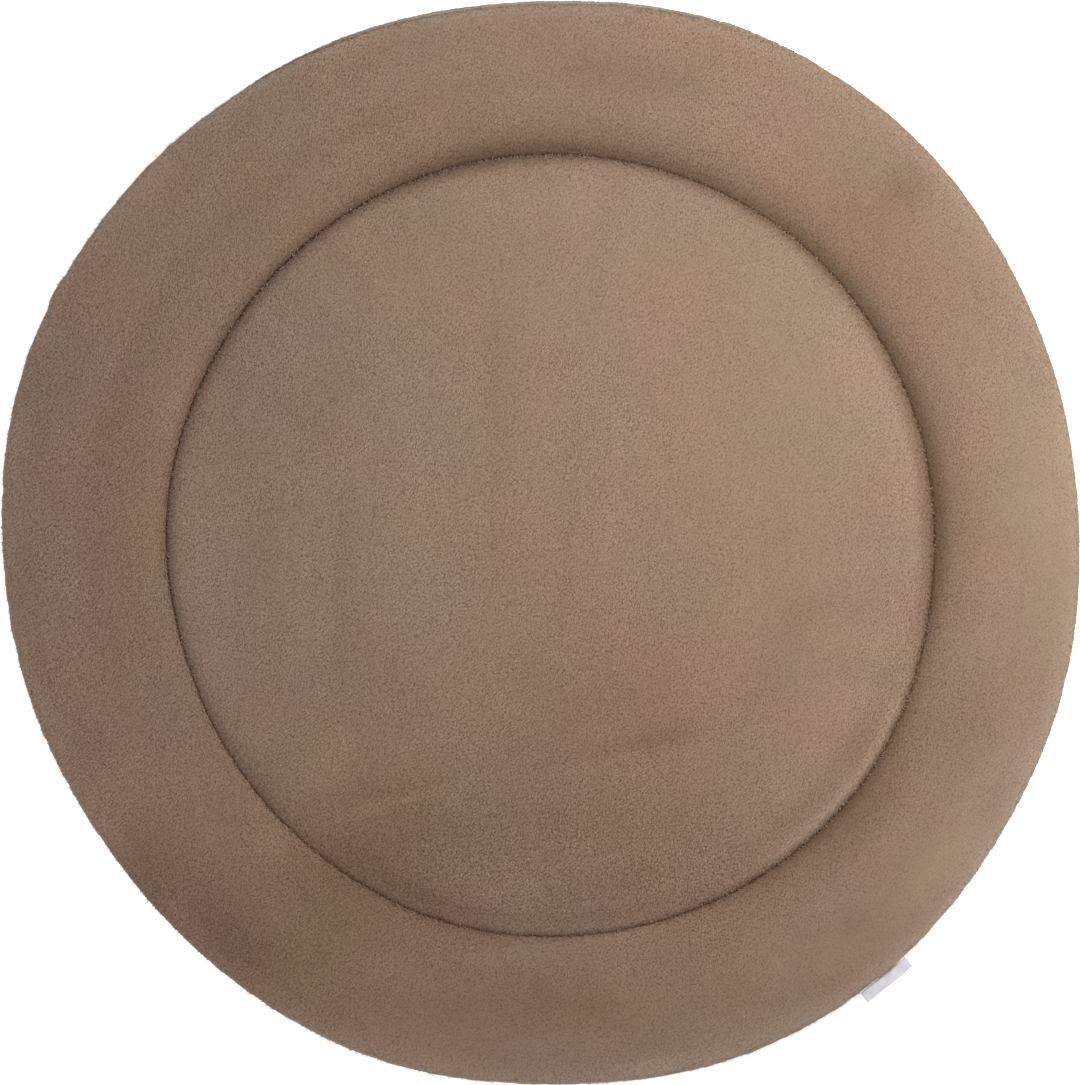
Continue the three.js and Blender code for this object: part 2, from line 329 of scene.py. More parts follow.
def apart(a, b):
    return np.abs((a - b + 540) % 360 - 180)


def outline_middle():
    a = TAU * np.arange(CAD_SECTORS) / CAD_SECTORS
    r = MAT_RADIUS + wander(EDGE_WAVES, a)
    x, y = r * np.cos(a), r * np.sin(a)
    return np.array([(x.min() + x.max()) / 2, (y.min() + y.max()) / 2])


SHIFT = np.array(CIRCLE_SHIFT)
MIDDLE = outline_middle()
CENTRE = SHIFT - MIDDLE


def smooth_noise(a, count, seed):
    """A smooth random line round the mat, mostly between -1 and 1, with about count swings in a turn."""
    r = np.random.default_rng(seed)
    n = np.arange(max(2, int(count * 0.45)), int(count * 1.5) + 1)
    amp = r.normal(size=len(n)) / math.sqrt(len(n))
    phase = r.uniform(0, TAU, len(n))
    out = np.zeros_like(a)
    for i in range(len(n)):
        out += amp[i] * np.cos(n[i] * a - phase[i])
    return out * 1.4


def edge_radius(a):
    bearing, spread, drawn = EDGE_IN
    smooth = MAT_RADIUS + wander(EDGE_WAVES, a) - drawn * fade(apart(np.degrees(a) % 360, bearing) / spread)
    at, half, reach = NUB
    smooth += reach * np.exp(-((apart(np.degrees(a) % 360, at) / half) ** 4))
    return smooth + 0.12 * smooth_noise(a, 60, 3) + 0.14 * smooth_noise(a, 170, 4)


def circle_radius(a):
    return CIRCLE_RADIUS + wander(CIRCLE_WAVES, a) + 0.10 * smooth_noise(a, 60, 5) + 0.12 * smooth_noise(a, 130, 6)


def polar(r, a):
    return np.stack([r * np.cos(a), r * np.sin(a)], -1)


def edge_xy(a, back):
    return polar(edge_radius(a) - back, a) - MIDDLE


def circle_xy(a):
    return polar(circle_radius(a), a) + CENTRE


def shown(a):
    deg = np.degrees(a) % 360
    out = np.zeros_like(a)
    for bearing, spread, shows in ROLLED_EDGE:
        out = np.maximum(out, shows * fade(apart(deg, bearing) / spread - 0.3))
    return out


def patches(table, x, y, flat=4):
    """Sum of the patches of a table with the columns x, y, turn, half length, half width, amount."""
    out = np.zeros_like(x)
    for px, py, turn, long, wide, amount in table:
        c, s = math.cos(math.radians(turn)), math.sin(math.radians(turn))
        u = ((x - px) * c + (y - py) * s) / long
        v = (-(x - px) * s + (y - py) * c) / wide
        out += amount * np.exp(-(np.abs(u) ** flat) - v * v)
    return out


def ring_patches(table, a, from_circle, width):
    deg = np.degrees(a) % 360
    out = np.zeros_like(from_circle)
    for lo, hi, share, wide, amount in table:
        half = (hi - lo) / 2
        off = apart(deg, lo + half) / half
        v = (from_circle - share * width) / wide
        out += amount * np.exp(-(off**6) - v * v)
    return out


def bump(d, at, half):
    return np.exp(-(((d - at) / half) ** 2))


def lips(a, d, tone=False):
    """The lip and valley beside the circle: their height, or their painted highlight and painted shade as a change of
    tone.
    """
    deg = np.degrees(a) % 360
    out = np.zeros_like(d)
    for bearing, spread, at, half, high, light, valley, valley_half, deep, dark in LIPS:
        up, down = (light, -dark) if tone else (high, deep)
        out += fade(apart(deg, bearing) / spread - 0.25) * (up * bump(d, at, half) - down * bump(d, valley, valley_half))
    return out if tone else out * np.clip(d / 2, 0, 1)


def field(seed, lo, hi, count):
    """Plane waves of mixed directions and wavelengths, whose sum is a smooth random field."""
    r = np.random.default_rng(seed)
    k = TAU / np.exp(r.uniform(math.log(lo), math.log(hi), count))
    direction = r.uniform(0, TAU, count)
    return k * np.cos(direction), k * np.sin(direction), r.uniform(0, TAU, count)


def lumps(waves, x, y):
    out = np.zeros_like(x)
    for kx, ky, ph in zip(*waves):
        out += np.cos(kx * x + ky * y + ph)
    return out * math.sqrt(2 / len(waves[0]))


WADDING = field(11, 45, 130, 40)
DRIFT = field(17, 18, 120, 60)
MOTTLE = field(23, 9, 22, 60)
HUES_DRIFT = field(29, 70, 260, 40)


def circle_top(a):
    deg = np.degrees(a) % 360
    return CIRCLE_TOP + sum(less * fade(apart(deg, bearing) / spread) for bearing, spread, less in SHALLOW)


def strip_drop(from_outline, here):
    """How far the back panel's edge has rolled down, where it shows past the face."""
    return STRIP_DROP * np.clip(1 - from_outline / np.maximum(here, 0.01), 0, 1) ** 2 * np.clip(here / 1.2, 0, 1)


def panel_top(from_circle, from_outline, here):
    """The height of the back panel's inside. here is how far the panel shows past the face."""
    lift = CIRCLE_LIFT * fade(from_circle / UNDER_CIRCLE)
    t = np.clip(1 - from_outline / UNDER_EDGE, 0, 1)
    seam = EDGE_SEAM + SEAM_ROLL * np.clip(here / 2, 0, 1)
    return PANEL + lift + (seam - PANEL) * t**1.8


def puckers(a, d, reach, seed):
    """How the stitches gather the cloth: low radial waves that die out away from a seam."""
    fine = smooth_noise(a, 120, seed)
    broad = smooth_noise(a, 44, seed + 1)
    near = np.exp(-d / (0.5 * reach)) * (1 - np.exp(-d / 1.5))
    far = np.exp(-d / (1.5 * reach)) * (1 - np.exp(-d / 4.0))
    return 0.16 * fine * near + 0.18 * broad * far


def disc_top(a, p, d):
    up = DISC_SHARE * rise(d, *DISC_SHOULDER) + (1 - DISC_SHARE) * rise(d, *DISC_SWELL)
    x, y = p[..., 0], p[..., 1]
    low = circle_top(a)
    z = low + (DISC_CROWN - low) * up
    z = z - patches(TROUGHS, x, y) * np.clip(d / 20, 0, 1) + lips(a, d)
    z = z + 0.22 * lumps(WADDING, x, y) * np.clip(d / 20, 0, 1)
    return z + puckers(a, d, 13, 21)


def ring_top(a, p, from_circle, from_edge):
    inner = RING_SHARE * rise(from_circle, *RING_LIP) + (1 - RING_SHARE) * rise(from_circle, *RING_SHOULDER)
    outer = rise(from_edge, *EDGE_ROLL)
    reach, drop = EDGE_EASE
    crown = RING_CROWN - drop * np.clip(1 - from_edge / reach, 0, 1) ** 2
    edge = panel_top(1e3, shown(a), shown(a)) + GAP
    x, y = p[..., 0], p[..., 1]
    z = crown - (RING_CROWN - circle_top(a)) * (1 - inner) - (crown - edge) * (1 - outer)
    soft = np.clip(np.minimum(from_circle, from_edge) / 20, 0, 1)
    z = z - (patches(TROUGHS, x, y) + ring_patches(RING_TROUGHS, a, from_circle, from_circle + from_edge)) * soft
    z = z + 0.22 * lumps(WADDING, x, y) * soft
    return z + puckers(a, from_circle, 13, 31) + 0.5 * puckers(a, from_edge, 10, 41)


def beside(a, on_disc, from_circle):
    """The painted shade towards the sewn circle and up the ring's slope, with the painted highlights on the crease's
    tips, as a factor on the tone.
    """
    deg = np.degrees(a) % 360
    rows = np.array(SEAM_PAINTED_SHADE, float)
    least_in, gone_in, least_out, gone_out, slope, slope_gone = (
        np.interp(deg, rows[:, 0], rows[:, k], period=360) for k in range(1, 7)
    )
    least, gone = np.where(on_disc, least_in, least_out), np.where(on_disc, gone_in, gone_out)
    # painted highlight on the tips beside the crease, and painted shade where its amount is below 0
    lip = 1 + sum(
        np.where(on_disc, inside, outside) * fade(apart(deg, bearing) / spread) * fade(from_circle / reach)
        for bearing, spread, inside, outside, reach in CREASE_PAINTED_LIGHT
    )
    crease_shade = 1 - (1 - least) * fade((from_circle - 1.5) / (gone - 1.5))
    return lip * crease_shade * (1 + np.where(on_disc, 0, slope * fade(from_circle / slope_gone)))


def tone_at(a, p, on_disc, from_circle, from_edge):
    """How light the pile is at a place on the face, about 1: its own tone together with painted shade and painted
    light.
    """
    x, y = p[..., 0], p[..., 1]
    deg = np.degrees(a) % 360
    tone = 1 + patches(NAP_AND_PAINTED_SHADING, x, y) + 0.015 * lumps(MOTTLE, x, y)
    tone += np.where(on_disc, lips(a, from_circle, True), ring_patches(RING_PAINTED_SHADE, a, from_circle, from_circle + from_edge))
    tone *= beside(a, on_disc, from_circle)
    # painted light towards the edge and painted rim light on its last tips, on the ring only
    bearing, spread, more = EDGE_PAINTED_LIGHT_MORE
    gain = (EDGE_PAINTED_LIGHT[0] + more * fade(apart(deg, bearing) / spread)) * fade(from_edge / EDGE_PAINTED_LIGHT[1])
    gain = gain + np.interp(deg, *np.array(EDGE_RIM_PAINTED_LIGHT).T, period=360) * fade(from_edge / EDGE_REACH)
    return tone * (1 + np.where(on_disc, 0, gain))


def tint_at(p, from_edge):
    """0 where the pile is pinker, 1 where it is greyer."""
    x, y = p[..., 0], p[..., 1]
    return np.clip(0.5 + patches(GREYER, x, y, 2) + 0.14 * lumps(HUES_DRIFT, x, y) + 0.12 * fade(from_edge / 10), 0, 1)


def gold_at(p, from_edge):
    """How much of the pile looks yellower, from 0 to 1."""
    x, y = p[..., 0], p[..., 1]
    share = 0.22 + 0.45 * fade(from_edge / 8)
    return np.clip(share + patches(YELLOWER, x, y, 2) + 0.10 * lumps(HUES_DRIFT, -y, x), 0, 1)


def crease_shade_at(from_circle):
    start, gone = CREASE_SHADE_REACH
    return fade((from_circle - start) / gone)


def calm_at(p):
    return np.clip(patches(CALM, p[..., 0], p[..., 1]), -0.6, 1)


# ================================================================ meshes from rings of points
ANGLES = TAU * np.arange(SECTORS) / SECTORS


def spaced(*runs):
    """Distances from 0 up: each run is (how far, step), and steps grow from one run's to the next's."""
    out, at, step = [0.0], 0.0, runs[0][1]
    for far, next_step in runs:
        while at < far - 0.3 * step:
            step += (next_step - step) * 0.18
            at += step
            out.append(at)
    return np.array(out)


def with_z(p, z):
    return np.concatenate([p, np.broadcast_to(z, p.shape[:1])[:, None]], 1)


# Where the face's rings lie: shares of the way from the circle to the middle, and across the ring.
DISC_SHARES = np.concatenate([[0], 0.45 + spaced((3, 0.75), (12, 1.7), (160, 3.05), (318, 3.7))]) / CIRCLE_RADIUS
DISC_SHARES = np.concatenate([DISC_SHARES[DISC_SHARES < 0.975], [0.99]])[::-1]
HALF_RING = (MAT_RADIUS - CIRCLE_RADIUS) / 2
HALF_SHARES = np.concatenate([[0], 0.4 + spaced((3, 0.75), (12, 1.6), (HALF_RING - 1.6, 3.05))]) / (2 * HALF_RING)
HALF_SHARES = HALF_SHARES[HALF_SHARES < 0.49]
RING_SHARES = np.concatenate([HALF_SHARES, [0.5], 1 - HALF_SHARES[::-1]])


def face_grid():
    """The face as rings x sectors x 3, from near the middle to the edge, and the ring number at the circle."""
    a = ANGLES
    c, e = circle_xy(a), edge_xy(a, shown(a))
    reach = circle_radius(a)
    width = np.linalg.norm(e - c, axis=-1)
    rings = []
    for s in DISC_SHARES:
        p = c + (CENTRE - c) * s
        rings.append(with_z(p, disc_top(a, p, s * reach)))
    for s in RING_SHARES[1:]:
        p = c + (e - c) * s
        rings.append(with_z(p, ring_top(a, p, s * width, (1 - s) * width)))
    return np.stack(rings)


def near_line(p, q, mm):
    v = q - p
    return p + v * (mm / np.linalg.norm(v, axis=-1, keepdims=True))


def shared_rings(height, dense):
    """The rings of an underside, from near the outline in to the middle."""
    a = ANGLES
    e, c = edge_xy(a, 0 * a), circle_xy(a)
    middle = np.broadcast_to(CENTRE, c.shape)
    far = np.full_like(a, 1e3)
    out = []
    for d in dense["edge"]:
        out.append(with_z(near_line(e, c, d), height(far, d + 0 * a)))
    for d in dense["circle"][::-1]:
        out.append(with_z(near_line(c, e, d), height(d + 0 * a, far)))
    out.append(with_z(c, height(0 * a, far)))
    for d in dense["circle"]:
        out.append(with_z(near_line(c, middle, d), height(d + 0 * a, far)))
    for s in dense["middle"]:
        out.append(with_z(c + (middle - c) * s, height(far, far)))
    return out


def bridge(first, second):
    """Faces between two rings of vertex numbers, where one may have a whole number of times the other's."""
    n, m = len(first), len(second)
    if n == m:
        k = np.arange(n)
        k1 = (k + 1) % n
        return np.stack([first[k], second[k], second[k1], first[k1]], -1), None
    few, many = (first, second) if n < m else (second, first)
    ratio = len(many) // len(few)
    half = ratio // 2
    tris = []
    for k in range(len(few)):
        k1 = (k + 1) % len(few)
        for j in range(ratio):
            u, v = many[k * ratio + j], many[(k * ratio + j + 1) % len(many)]
            apex = few[k] if j < half else few[k1]
            tris.append((apex, u, v) if n < m else (u, apex, v))
        mid = many[k * ratio + half]
        tris.append((few[k], mid, few[k1]) if n < m else (mid, few[k], few[k1]))
    return None, np.array(tris)


def closed(name, top, rings, strides, bottom):
    """One closed mesh from a point on top, rings outwards, over the edge and back in, and a point below.
    A stride of 2 keeps every second point of a ring."""
    kept = [r[::s] for r, s in zip(rings, strides)]
    starts = np.cumsum([1, *(len(r) for r in kept)])
    numbers = [np.arange(len(r)) + b for r, b in zip(kept, starts)]
    verts = np.concatenate([[top], *kept, [bottom]])
    quads, tris = [], []
    for u, v in zip(numbers[:-1], numbers[1:]):
        q, t = bridge(u, v)
        (quads if t is None else tris).append(q if t is None else t)
    first, last = numbers[0], numbers[-1]
    tris.append(np.stack([np.zeros_like(first), first, np.roll(first, -1)], -1))
    tris.append(np.stack([last, np.full_like(last, len(verts) - 1), np.roll(last, -1)], -1))
    return mesh_of(name, verts, np.concatenate(quads), np.concatenate(tris)), verts


def mesh_of(name, verts, quads, tris, material=None):
    me = bpy.data.meshes.new(name)
    nq = 0 if quads is None else len(quads)
    nt = 0 if tris is None else len(tris)
    me.vertices.add(len(verts))
    me.vertices.foreach_set("co", (np.asarray(verts, float) * MM).astype(np.float32).ravel())
    loops = np.concatenate([f.ravel() for f in (quads, tris) if f is not None]).astype(np.int32)
    me.loops.add(len(loops))
    me.loops.foreach_set("vertex_index", loops)
    me.polygons.add(nq + nt)
    starts = np.concatenate([np.arange(nq) * 4, nq * 4 + np.arange(nt) * 3]).astype(np.int32)
    me.polygons.foreach_set("loop_start", starts)
    me.polygons.foreach_set("use_smooth", np.full(nq + nt, True))
    if material is not None:
        me.polygons.foreach_set("material_index", material.astype(np.int32))
    me.update(calc_edges=True)
    o = bpy.data.objects.new(name, me)
    bpy.context.scene.collection.objects.link(o)
    return o


def give(ob, name, values):
    ob.data.attributes.new(name, "FLOAT", "POINT").data.foreach_set("value", np.asarray(values, np.float32))


# ================================================================ places on the face
def locate(p):
    """For points seen from above: their sector angle, ring number in the grid, distance to the circle and to the edge, and whether they are inside the circle."""
    q = p + MIDDLE
    off = q - SHIFT
    a = np.arctan2(off[:, 1], off[:, 0])
    r = np.hypot(off[:, 0], off[:, 1])
    on_disc = r < circle_radius(a)
    s = np.where(on_disc, 0.0, 0.5)
    for _ in range(4):
        v = q - np.where(on_disc, 1, 1 - s)[:, None] * SHIFT
        a = np.arctan2(v[:, 1], v[:, 0])
        rc, re = circle_radius(a), edge_radius(a) - shown(a)
        s = np.where(on_disc, 0, np.clip((np.hypot(v[:, 0], v[:, 1]) - rc) / (re - rc), 0, 1.2))
    width = np.linalg.norm(edge_xy(a, shown(a)) - circle_xy(a), axis=-1)
    from_circle = np.where(on_disc, rc - r, s * width)
    from_edge = np.where(on_disc, 1e3, (1 - s) * width)
    numbers = np.arange(len(DISC_SHARES))
    ring = np.interp(from_circle / rc, DISC_SHARES[::-1], numbers[::-1])
    ring = np.where(on_disc, ring, len(DISC_SHARES) - 1 + np.interp(s, RING_SHARES, np.arange(len(RING_SHARES))))
    return a, ring, from_circle, from_edge, on_disc


def on_grid(grid, a, ring):
    """Values of a rings x sectors grid at fractional places."""
    k = (a / TAU * SECTORS) % SECTORS
    k0 = np.floor(k).astype(int) % SECTORS
    j0 = np.clip(np.floor(ring).astype(int), 0, len(grid) - 2)
    u, v = (k - np.floor(k))[:, None], (ring - j0)[:, None]
    k1 = (k0 + 1) % SECTORS
    return (1 - v) * ((1 - u) * grid[j0, k0] + u * grid[j0, k1]) + v * ((1 - u) * grid[j0 + 1, k0] + u * grid[j0 + 1, k1])


def normals_of(grid):
    along = np.roll(grid, -1, 1) - np.roll(grid, 1, 1)
    across = np.gradient(grid, axis=0)
    n = np.cross(across, along)
    return n / np.linalg.norm(n, axis=-1, keepdims=True)


GRID = face_grid()
AT_CIRCLE = len(DISC_SHARES) - 1

SETTLE = dict(every=4, frames=20, pressure=4.0, slack=0.004, waves=(5, 56), share=0.38, cap=2.2)


def settle(grid):
    """The wadding presses on the cloth, which is held at its seams and has a little slack. The cloth is
    simulated on every few sectors, and what comes back is how unevenly it has puffed, in millimetres."""
    last = len(grid) - 1
    rows = {0, AT_CIRCLE, last, *range(0, AT_CIRCLE - 12, 3), *range(AT_CIRCLE - 12, AT_CIRCLE + 13, 2)}
    rows = sorted(rows | {*range(AT_CIRCLE + 13, last - 11, 3), *range(last - 11, last, 2)})
    coarse = grid[rows][:, :: SETTLE["every"]]
    nr, ns = coarse.shape[:2]
    low = coarse[::-6].copy()
    low[..., 2] = PANEL
    verts = np.concatenate([[[*CENTRE, coarse[0, :, 2].mean()]], coarse.reshape(-1, 3), low.reshape(-1, 3), [[*CENTRE, PANEL]]])
    rings = nr + len(low)
    k = np.arange(ns)
    k1 = (k + 1) % ns
    start = 1 + ns * np.arange(rings - 1)[:, None]
    quads = np.stack([start + k, start + ns + k, start + ns + k1, start + k1], -1).reshape(-1, 4)
    end = 1 + (rings - 1) * ns
    tris = np.concatenate([np.stack([0 * k, 1 + k, 1 + k1], -1), np.stack([end + k, 0 * k + end + ns, end + k1], -1)])
    ob = mesh_of("settling", verts, quads, tris)
    held = [1 + j * ns + i for j in (rows.index(AT_CIRCLE), *range(nr - 1, rings)) for i in range(ns)]
    group = ob.vertex_groups.new(name="held")
    group.add([*held, len(verts) - 1], 1.0, "REPLACE")
    cloth = ob.modifiers.new("cloth", "CLOTH")
    s = cloth.settings
    s.vertex_group_mass = "held"
    s.use_pressure = True
    s.uniform_pressure_force = SETTLE["pressure"]
    s.effector_weights.gravity = 0
    s.quality = 6
    s.mass = 0.4
    s.tension_stiffness = s.compression_stiffness = 25
    s.shear_stiffness = 10
    s.bending_stiffness = 3
    s.shrink_min = -SETTLE["slack"]
    s.air_damping = 2
    cloth.collision_settings.use_collision = False
    cloth.point_cache.frame_start, cloth.point_cache.frame_end = 1, SETTLE["frames"]
    for f in range(1, SETTLE["frames"] + 1):
        bpy.context.scene.frame_set(f)
    got = ob.evaluated_get(bpy.context.evaluated_depsgraph_get()).to_mesh()
    moved = np.empty(len(verts) * 3, np.float32)
    got.vertices.foreach_get("co", moved)
    move = (moved.reshape(-1, 3) / MM - verts)[1 : 1 + nr * ns].reshape(nr, ns, 3)[..., 2]
    bpy.data.objects.remove(ob)
    bpy.context.scene.frame_set(1)
    # keep the puffs and puckers, leave out the bulge that they share and the mesh's own ripple
    waves = np.fft.rfft(move, axis=1)
    n = np.arange(waves.shape[1])
    least, most = SETTLE["waves"]
    waves *= np.clip((n - least) / 5, 0, 1) * np.clip((most - n) / 20, 0, 1)
    full = np.zeros((nr, SECTORS // 2 + 1), complex)
    full[:, : waves.shape[1]] = waves * SETTLE["every"]
    puffs = np.clip(np.fft.irfft(full, SECTORS, axis=1), -SETTLE["cap"], SETTLE["cap"])
    puffs = np.stack([np.interp(np.arange(len(grid)), rows, puffs[:, i]) for i in range(SECTORS)], 1)
    r = np.hypot(*(grid[:, 0, :2] - CENTRE).T)
    calmer = fade(1.1 - np.minimum(abs(r - r[AT_CIRCLE]), r[-1] - r) / 16) * fade((300 - r) / 170)
    return SETTLE["share"] * puffs * calmer[:, None]


PUFFS = settle(GRID)
GRID[..., 2] += PUFFS
NORMALS = normals_of(GRID)


def strides_of(grid):
    """Every sector is kept beside the seams, every second one elsewhere, and fewer towards the middle."""
    r = np.hypot(*(grid[:, 0, :2] - CENTRE).T)
    from_circle = abs(r - r[AT_CIRCLE])
    from_edge = r[-1] - r
    return [
        1 if c < 13 or e < 13 else 2 if x > 158 else 4 if x > 80 else 8 if x > 20 else 16
        for x, c, e in zip(r, from_circle, from_edge)
    ]


# ---------------------------------------------------------------- the face with its wadding
under = {"edge": [4, 10, 18], "circle": [6, 15], "middle": [0.5]}
SHOWS = shown(ANGLES)
under_rings = shared_rings(lambda c, e: panel_top(c, e, SHOWS) + GAP, under)
face_ob, face_verts = closed(
    "plush_face",
    [*CENTRE, float(disc_top(np.zeros(1), CENTRE[None], np.array([CIRCLE_RADIUS]))[0])],
    [*GRID, *under_rings],
    strides_of(GRID) + [4] * len(under_rings),
    [*CENTRE, PANEL + GAP],
)
face_a, face_ring, face_circle, face_edge, face_disc = locate(face_verts[:, :2])
# tone carries the painted shade and painted light along with the pile's own tone
give(face_ob, "tone", tone_at(face_a, face_verts[:, :2], face_disc, face_circle, face_edge))
give(face_ob, "tint", tint_at(face_verts[:, :2], face_edge))
give(face_ob, "gold", gold_at(face_verts[:, :2], face_edge))
# the share of the warm brown painted into the crease as shade
give(face_ob, "deep", crease_shade_at(face_circle))
give(face_ob, "grain", 1 - 0.6 * calm_at(face_verts[:, :2]))

# ---------------------------------------------------------------- the back panel
dense = {
    "edge": [0.8, 2, 3.5, 5.5, 8, 11, 14, 18, 26, 38, 52, 68, 84, 100],
    "circle": [0.6, 1.5, 3, 5, 7.5, 10, 12.5, 15],
    "middle": [0.12, 0.24, 0.36, 0.48, 0.6, 0.72, 0.84, 0.95],
}
back = np.maximum(TUCK - SHOWS, 0)
panel_edge = edge_xy(ANGLES, back)
middle_z = panel_top(1e3 + 0 * ANGLES, back, SHOWS) - strip_drop(back, SHOWS)
top_rings = shared_rings(lambda c, e: panel_top(c, e, SHOWS) - strip_drop(e, SHOWS), dense)[::-1]
low_rings = shared_rings(lambda c, e: panel_top(c, e, SHOWS) - strip_drop(e, SHOWS) - PANEL, dense)
panel_ob, panel_verts = closed(
    "back_cloth",
    [*CENTRE, PANEL],
    [
        *top_rings,
        with_z(panel_edge, middle_z - 0.15),
        with_z(edge_xy(ANGLES, back - 0.25), middle_z - PANEL * 0.5),
        with_z(panel_edge, middle_z - PANEL * 0.85),
        *low_rings,
    ],
    [4] * (len(top_rings) - 4) + [2] * 4 + [1] * 3 + [2] * len(low_rings),
    [*CENTRE, 0.0],
)
panel_a, _, _, panel_edge_at, _ = locate(panel_verts[:, :2])
# where the back panel shows past the face, it lies in the face's shadow and is painted lighter
strip_painted_light = np.clip(shown(panel_a) / 1.5, 0, 1) * (panel_edge_at < 3) * (panel_verts[:, 2] > 4)
give(panel_ob, "tone", 1 + 0.60 * strip_painted_light)

# ---------------------------------------------------------------- the stitches of the sewn circle, on the underside
STITCH = {"count": 505, "length": 3.0, "thick": 0.5, "sides": 5}  # millimetres


def stitches():
    """A row of short rounded stitches on the underside's sewn circle, each sunk at its two ends."""
    stations = [(-0.98, 0.0, 0.32), (-0.6, 0.8, 0.10), (0.0, 1.0, 0.0), (0.6, 0.8, 0.10), (0.98, 0.0, 0.32)]
    n = STITCH["sides"]
    turn = TAU * np.arange(n) / n
    a = TAU * (np.arange(STITCH["count"]) + 0.5) / STITCH["count"]
    rows = []
    for s, fat, sink in stations:
        t = a + s * 0.5 * STITCH["length"] / CIRCLE_RADIUS
        p = circle_xy(a) + polar(np.full_like(a, circle_radius(a)), t) - polar(circle_radius(a), a)
        f = fat * STITCH["thick"] / 2
        w = turn if fat else turn[:1]
        across = f * np.cos(w)[None, :, None] * polar(np.ones_like(t), t)[:, None]
        z = CIRCLE_LIFT - 0.02 + sink + f * np.sin(w)
        rows.append(np.concatenate([p[:, None] + across, np.broadcast_to(z, (len(a), len(w)))[..., None]], -1))
    verts = np.concatenate(rows, 1)
    quads, tris, starts = [], [], [0, 1, 1 + n, 1 + 2 * n, 1 + 3 * n]
    for w in range(n):
        w1 = (w + 1) % n
        for u, v in zip(starts[1:3], starts[2:4]):
            quads.append((u + w, u + w1, v + w1, v + w))
        tris += [(0, 1 + w1, 1 + w), (starts[4], starts[3] + w, starts[3] + w1)]
    base = (np.arange(len(a)) * verts.shape[1])[:, None, None]
    return mesh_of(
        "circle_stitches", verts.reshape(-1, 3), (base + np.array(quads)).reshape(-1, 4), (base + np.array(tris)).reshape(-1, 3)
    )


stitch_ob = stitches()

# ---------------------------------------------------------------- the tab
TAB = dict(bearing=-52.1, length=47.8, reach=10.1, tape=0.5, between=0.4, droop=7.0, turn=1.2, clear=0.35)


def make_tab():
    outer, inner = TAB["tape"] + TAB["between"] / 2, TAB["between"] / 2
    straight = TAB["reach"] - outer
    line, bend = np.linspace(0, straight, 9), np.linspace(math.pi / 2, -math.pi / 2, 11)[1:-1]
    out = [(x, outer) for x in line]
    out += [(straight + outer * math.cos(t), outer * math.sin(t)) for t in bend]
    out += [(x, -outer) for x in line[::-1]]
    out += [(x, -inner) for x in line]
    out += [(straight + inner * math.cos(t), inner * math.sin(t)) for t in bend[::-1]]
    out += [(x, inner) for x in line[::-1]]
    section = np.array(out)
    along = np.linspace(-TAB["length"] / 2, TAB["length"] / 2, 49)
    verts = []
    for s in along:
        t = s / (TAB["length"] / 2)
        x, z = section[:, 0].copy(), section[:, 1].copy()
        # the free corners lift a little, and the tape waves slightly
        z = z + 0.35 * (x / TAB["reach"]) ** 2 * (0.9 * t**4 + 0.5 * math.sin(2.1 * t + 0.6))
        x = x - 0.12 * (x / TAB["reach"]) * t * t
        verts.append(np.stack([x, np.full_like(x, s), z], -1))
    n, m = len(along), len(section)
    k = np.arange(m)
    k1 = (k + 1) % m
    r = np.arange(n - 1)[:, None] * m
    quads = np.stack([r + k, r + k1, r + m + k1, r + m + k], -1).reshape(-1, 4)
    # the two ends: quads between the outer and the inner line
    j = np.arange(m // 2 - 1)
    ends = np.stack([j, j + 1, m - 2 - j, m - 1 - j], -1)
    quads = np.concatenate([quads, ends[:, ::-1], (n - 1) * m + ends])
    x, y, z = np.concatenate(verts).T
    droop, turn = math.radians(TAB["droop"]), math.radians(TAB["bearing"] + TAB["turn"])
    x, z = x * math.cos(droop) + z * math.sin(droop), -x * math.sin(droop) + z * math.cos(droop)
    x, y = x * math.cos(turn) - y * math.sin(turn), x * math.sin(turn) + y * math.cos(turn)
    b = math.radians(TAB["bearing"])
    foot = polar(MAT_RADIUS + wander(EDGE_WAVES, np.array([b]))[0] + TAB["clear"], b) - MIDDLE
    return mesh_of("tape_tab", np.stack([x + foot[0], y + foot[1], z + EDGE_SEAM], -1), quads, None)


tab_ob = make_tab()

# ================================================================ the pile
# Every tuft is a small closed wedge of yarn, rooted under the skin of the cloth.
PILE = {"spacing": 2.03, "length": (2.7, 4.5), "width": (0.45, 0.80), "ridge": 0.25, "lean": (7, 18), "scatter": 20, "root": 0.33}
# tones of the yarns: a tuft takes the one nearest its tone, which holds its own random tone and the face's painted
# shade and painted light
TONES = np.array([0.48, 0.60, 0.72, 0.83, 0.94, 1.05, 1.17, 1.32, 1.50, 1.72, 1.95, 2.25])
MIXED = 0.135  # how much one tuft differs from the next


def tufts(roots, normals, bearing, length, width, lean, ridge):
    """Wedges at the roots, laid over towards a bearing: their vertices, four each."""
    lay = polar(np.ones_like(bearing), bearing)
    lay = np.concatenate([lay, np.zeros((len(lay), 1))], 1)
    lay -= normals * (lay * normals).sum(1, keepdims=True)
    lay /= np.linalg.norm(lay, axis=1, keepdims=True)
    side = np.cross(normals, lay)
    c, s = np.cos(lean)[:, None], np.sin(lean)[:, None]
    out, up = c * lay + s * normals, c * normals - s * lay
    length, width, ridge = length[:, None], width[:, None], ridge[:, None]
    left, right = roots - side * width / 2, roots + side * width / 2
    return np.stack([left, right, roots + out * length, roots + out * length * 0.4 + up * ridge], 1)


WEDGE = np.array([(0, 1, 2), (0, 2, 3), (2, 1, 3), (0, 3, 1)])


def tuft_mesh(name, verts, tone):
    base = (np.arange(len(verts)) * 4)[:, None, None]
    return mesh_of(name, verts.reshape(-1, 3), None, (base + WEDGE).reshape(-1, 3), np.repeat(tone, 4))


